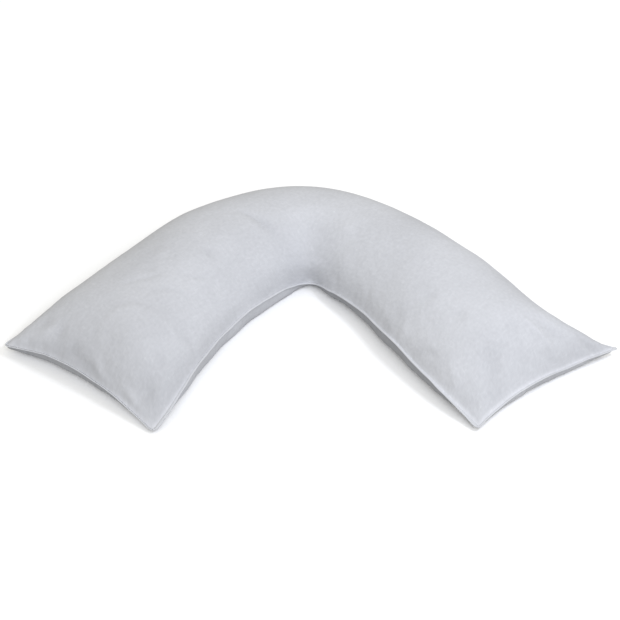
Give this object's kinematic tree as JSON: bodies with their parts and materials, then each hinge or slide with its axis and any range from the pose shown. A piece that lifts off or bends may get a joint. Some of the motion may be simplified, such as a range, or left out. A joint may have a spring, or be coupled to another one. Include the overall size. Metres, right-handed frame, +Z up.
{
  "type": "v shaped pillow",
  "caption": "Plump boomerang-shaped bed pillow in pale plain cotton, two arms from a rounded apex, closed seam ridge all round, lying on its back.",
  "frame": {"origin": "on the floor, under the middle of the pillow's box", "axes": "+X from the left arm's tip to the right arm's tip, +Y to the apex, the arms come toward -Y, +Z up"},
  "size_m": [1.1464, 0.6028, 0.1494],
  "materials": {
    "cotton": "matt plain-weave cotton, pale grey-blue white"
  },
  "bodies": {
    "root": {"pillow": "cotton"}
  },
  "joints": []
}
